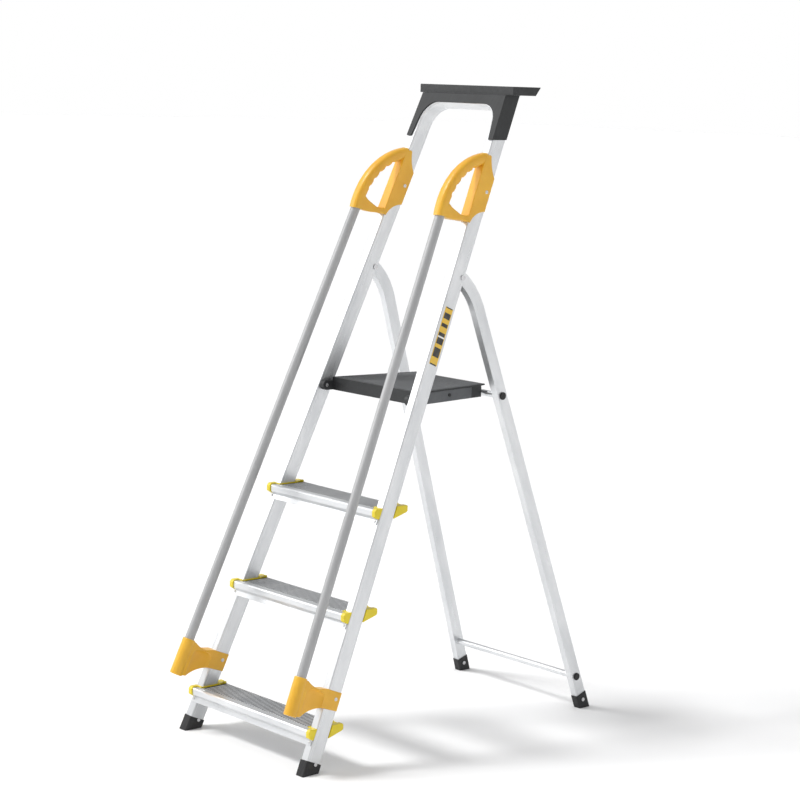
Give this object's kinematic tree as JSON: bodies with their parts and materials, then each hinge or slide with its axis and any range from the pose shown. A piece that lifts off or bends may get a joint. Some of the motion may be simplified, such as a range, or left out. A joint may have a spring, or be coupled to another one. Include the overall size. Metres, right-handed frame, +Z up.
{
  "type": "platform step ladder",
  "caption": "Folding platform step ladder with splayed stiles, ribbed treads, side handrails with loop grips, a hooked standing platform and a tool tray on top.",
  "frame": {"origin": "centre of the footprint of the opened ladder, on the floor", "axes": "+X across the ladder to the climber's right, +Y from the climbing side to the rear frame, +Z up"},
  "size_m": [0.452, 0.964, 1.5057],
  "materials": {
    "aluminium": "extruded, fine brushed lines, satin",
    "rail_tube": "satin grey coated tube",
    "steel": "zinc plated fasteners",
    "amber_plastic": "semi-gloss moulded amber plastic",
    "lime_plastic": "semi-gloss moulded lime-yellow plastic",
    "dark_plastic": "fine-textured anthracite plastic",
    "grey_plastic": "fine-textured mid-grey plastic",
    "black_rubber": "matt black rubber",
    "label_film": null
  },
  "bodies": {
    "front_frame": {"left_stile": "aluminium", "right_stile": "aluminium", "top_bow": "aluminium", "left_front_foot": "black_rubber", "right_front_foot": "black_rubber", "lower_tread": "aluminium", "middle_tread": "aluminium", "upper_tread": "aluminium", "left_lower_end_cap": "lime_plastic", "right_lower_end_cap": "lime_plastic", "left_middle_end_cap": "lime_plastic", "right_middle_end_cap": "lime_plastic", "left_upper_end_cap": "lime_plastic", "right_upper_end_cap": "lime_plastic", "tread_rivets": "steel", "left_handrail": "rail_tube", "right_handrail": "rail_tube", "left_handle": "amber_plastic", "right_handle": "amber_plastic", "left_clamp": "amber_plastic", "right_clamp": "amber_plastic", "handle_screws": "steel", "clamp_screws": "steel", "front_foot_rivets": "steel", "tool_tray": "dark_plastic", "pivot_rivets": "steel", "platform_pins": "steel", "stile_label": "label_film"},
    "rear_frame": {"left_rear_leg": "aluminium", "right_rear_leg": "aluminium", "pivot_bushes": "steel", "left_rear_foot": "black_rubber", "right_rear_foot": "black_rubber", "rear_foot_rivets": "steel", "lower_crossbar": "aluminium", "upper_crossbar": "aluminium", "lower_crossbar_plugs": "black_rubber", "upper_crossbar_plugs": "black_rubber"},
    "platform": {"platform_deck": "dark_plastic", "left_side_plate": "grey_plastic", "right_side_plate": "grey_plastic", "side_plate_screws": "steel", "left_bar_hook": "dark_plastic", "right_bar_hook": "dark_plastic"}
  },
  "joints": [
    {"name": "rear_fold", "type": "hinge", "parent": "front_frame", "child": "rear_frame", "pos_m": [0, 0.0508, 1.07023], "axis": [-1, 0, 0], "range_deg": [0, 39.6]},
    {"name": "platform_fold", "type": "hinge", "parent": "front_frame", "child": "platform", "pos_m": [0, -0.08862, 0.795], "axis": [1, 0, 0], "range_deg": [0, 66]}
  ],
  "couplings": [
    {"joint": "platform_fold", "follows": "rear_fold", "ratio": 1.6667}
  ]
}
